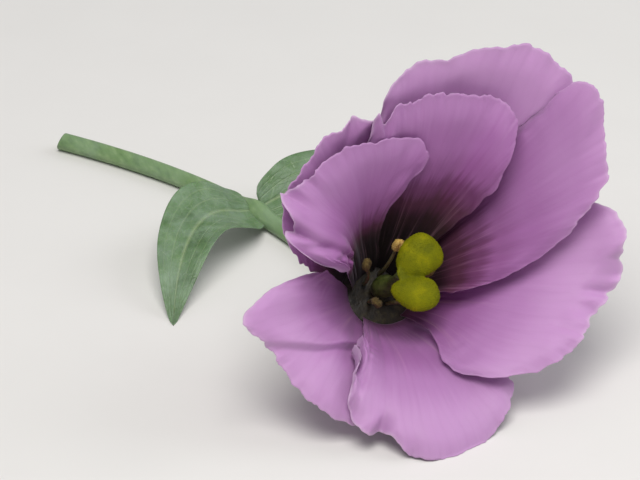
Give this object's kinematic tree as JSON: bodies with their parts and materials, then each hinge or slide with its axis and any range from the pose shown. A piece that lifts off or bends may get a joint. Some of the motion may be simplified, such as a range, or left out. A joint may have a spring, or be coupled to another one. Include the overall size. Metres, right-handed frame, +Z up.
{
  "type": "lisianthus flower",
  "caption": "Picked lisianthus bloom: a wide bell of overlapping lilac petals round a dark throat and a lobed green stigma, with slim sepals, a short stem and a pair of leaves.",
  "frame": {"origin": "on the surface the flower lies on, under the middle of its bounding box", "axes": "+Z up from the surface; the stem runs back along +Y, and the bloom's mouth looks towards -Y and up"},
  "size_m": [0.0732, 0.1334, 0.0597],
  "materials": {
    "petal": "matte",
    "calyx": "satin",
    "pistil": "satin",
    "stigma": "matte",
    "filament": "satin",
    "anther": "matte",
    "stem": "satin",
    "leaf": "satin"
  },
  "bodies": {
    "root": {"petal_outer_top": "petal", "petal_outer_left": "petal", "petal_outer_lower_left": "petal", "petal_outer_bottom": "petal", "petal_outer_lower_right": "petal", "petal_inner_right": "petal", "petal_inner_top": "petal", "petal_inner_left": "petal", "calyx": "calyx", "ovary_and_style": "pistil", "stigma": "stigma", "filament_1": "filament", "filament_2": "filament", "filament_3": "filament", "filament_4": "filament", "filament_5": "filament", "anther_1": "anther", "anther_2": "anther", "anther_3": "anther", "anther_4": "anther", "anther_5": "anther", "stem": "stem", "leaf_1": "leaf", "leaf_2": "leaf"}
  },
  "joints": []
}
